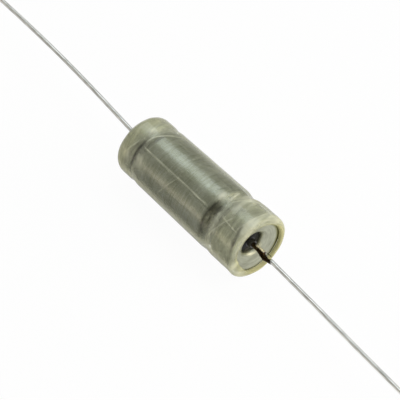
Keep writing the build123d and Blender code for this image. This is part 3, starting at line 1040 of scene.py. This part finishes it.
def paperFloor():
    # white paper: plain white to the camera, and a glare of its own, uneven, where metal or film mirrors it
    material, tree = newMaterial("whitePaper")
    path = addNode(tree, "ShaderNodeLightPath")
    mirrored = path.outputs["Is Glossy Ray"]
    seen = addNode(tree, "ShaderNodeMath", {"operation": "MAXIMUM"},
                   {0: path.outputs["Is Camera Ray"], 1: path.outputs["Is Transmission Ray"]})
    share = addNode(tree, "ShaderNodeMath", {"operation": "MULTIPLY", 1: stage["cameraWhite"]}, {0: seen})
    both = addNode(tree, "ShaderNodeMath", {"operation": "MULTIPLY_ADD", 1: stage["glossShare"],
                                            "use_clamp": True}, {0: mirrored, 2: share})
    split = addNode(tree, "ShaderNodeSeparateXYZ", links={0: millimetres(tree)})
    x, y = split.outputs["X"], split.outputs["Y"]
    start, full = stage["glareBehind"]
    glare = addNode(tree, "ShaderNodeMapRange", {"interpolation_type": "SMOOTHSTEP", "From Min": start,
                                                 "From Max": full}, {"Value": y})
    start, full = stage["glareFades"]
    fades = addNode(tree, "ShaderNodeMapRange", {"From Min": start, "From Max": full, "To Min": 1.0,
                                                 "To Max": stage["glareLeast"]}, {"Value": y})
    glare = addNode(tree, "ShaderNodeMath", {"operation": "MULTIPLY"}, {0: glare, 1: fades})
    for place, (start, full, most) in ((y, stage["glareBelow"]), (x, stage["glareFront"])):
        more = addNode(tree, "ShaderNodeMapRange", {"interpolation_type": "SMOOTHSTEP", "From Min": start,
                                                    "From Max": full, "To Max": most}, {"Value": place})
        glare = addNode(tree, "ShaderNodeMath", {"operation": "MAXIMUM"}, {0: glare, 1: more})
    glare = addNode(tree, "ShaderNodeMapRange", {"To Min": stage["glossDim"], "To Max": stage["glossWhite"]},
                    {"Value": glare})
    strength = addNode(tree, "ShaderNodeMix", {"data_type": "FLOAT", 2: 1.0}, {0: mirrored, 3: glare})
    paper = addNode(tree, "ShaderNodeBsdfDiffuse", {"Color": linearColour(stage["paper"])})
    white = addNode(tree, "ShaderNodeEmission", {"Color": (1, 1, 1, 1)}, {"Strength": strength})
    mixed = addNode(tree, "ShaderNodeMixShader", links={0: both, 1: paper, 2: white})
    addNode(tree, "ShaderNodeOutputMaterial", links={"Surface": mixed})
    build = bmesh.new()
    half, level = stage["floorHalf"], sleeveLow.z - stage["floorGap"] * mm
    build.faces.new([build.verts.new((x, y, level)) for x, y in
                     ((-half, -half), (half, -half), (half, half), (-half, half))])
    mesh = bpy.data.meshes.new("floor")
    build.to_mesh(mesh)
    build.free()
    mesh.materials.append(material)
    floor = bpy.data.objects.new("floor", mesh)
    bpy.context.scene.collection.objects.link(floor)


def areaLamp(name, place, size, radiance, colourText):
    lamp = bpy.data.lights.new(name, "AREA")
    lamp.shape = "RECTANGLE"
    lamp.size, lamp.size_y = size[0] * mm, size[1] * mm
    lamp.energy = radiance * math.pi * lamp.size * lamp.size_y
    lamp.color = linearColour(colourText)[:3]
    holder = bpy.data.objects.new(name, lamp)
    bpy.context.scene.collection.objects.link(holder)
    holder.location = Vector(place) * mm
    holder.rotation_euler = (Vector() - Vector(place)).to_track_quat("-Z", "Y").to_euler()


def studio():
    world = bpy.data.worlds.new("studio")
    bpy.context.scene.world = world
    world.use_nodes = True
    tree = world.node_tree
    tree.nodes.clear()
    direction = addNode(tree, "ShaderNodeTexCoord").outputs["Generated"]
    bright, darkRound, darkLeft = [sideShare(tree, direction, Vector(side).normalized(), span)
                                   for side, span in (stage["brightSide"], *stage["darkSides"])]
    dark = addNode(tree, "ShaderNodeMath", {"operation": "MAXIMUM"}, {0: darkRound, 1: darkLeft})
    room = addNode(tree, "ShaderNodeMix", {"data_type": "RGBA", 6: linearColour(stage["room"]),
                                           7: linearColour(stage["roomBright"])}, {0: bright})
    room = addNode(tree, "ShaderNodeMix", {"data_type": "RGBA", 7: linearColour(stage["roomDark"])},
                   {0: dark, 6: room.outputs[2]})
    sky = addNode(tree, "ShaderNodeBackground", links={"Color": room.outputs[2]})
    addNode(tree, "ShaderNodeOutputWorld", links={"Surface": sky})
    for name, settings in lamps.items():
        areaLamp(name, *settings)


def photoCamera():
    v = viewpoint
    azimuth, elevation = math.radians(v["azimuth"]), math.radians(v["elevation"])
    towards = Vector((math.cos(azimuth) * math.cos(elevation), math.sin(azimuth) * math.cos(elevation),
                      math.sin(elevation)))
    turned = towards.to_track_quat("Z", "Y")
    right, up = turned @ Vector((1, 0, 0)), turned @ Vector((0, 1, 0))
    aim = -(right * v["originRight"] + up * v["originUp"]) / v["pixelsPerMm"]
    data = bpy.data.cameras.new("camera")
    data.sensor_width = v["sensor"]
    data.lens = v["pixelsPerMm"] * v["distance"] / v["frame"] * v["sensor"]
    data.clip_start, data.clip_end = v["clip"]
    camera = bpy.data.objects.new("camera", data)
    bpy.context.scene.collection.objects.link(camera)
    camera.location = (aim + towards * v["distance"]) * mm
    camera.rotation_mode = "QUATERNION"
    camera.rotation_quaternion = turned
    bpy.context.scene.camera = camera


finishes = {
    "case": drawnSilver(),
    "end_seal": mouldedElastomer(),
    "riser_wire": heatTintedTantalum(),
    "negative_lead": tinnedNickel(),
    "seal_spacer": innerFinish(*inner["fluoropolymer"]),
    "anode_slug": innerFinish(*inner["slug"]),
    "electrolyte_gel": innerFinish(*inner["gel"]),
}
finishes["bottom_spacer"] = finishes["seal_spacer"]
for name, finish in finishes.items():
    nodes[name].data.materials.clear()
    nodes[name].data.materials.append(finish)
print("finishes made")

shrunkSleeve(shrunkPolyester())
print("sleeve made")

weldedLead(tinnedNickel(welded=True))
print("weld and lead made")

paperFloor()
studio()
photoCamera()
bpy.context.scene.view_settings.view_transform = "Standard"
print("studio made")
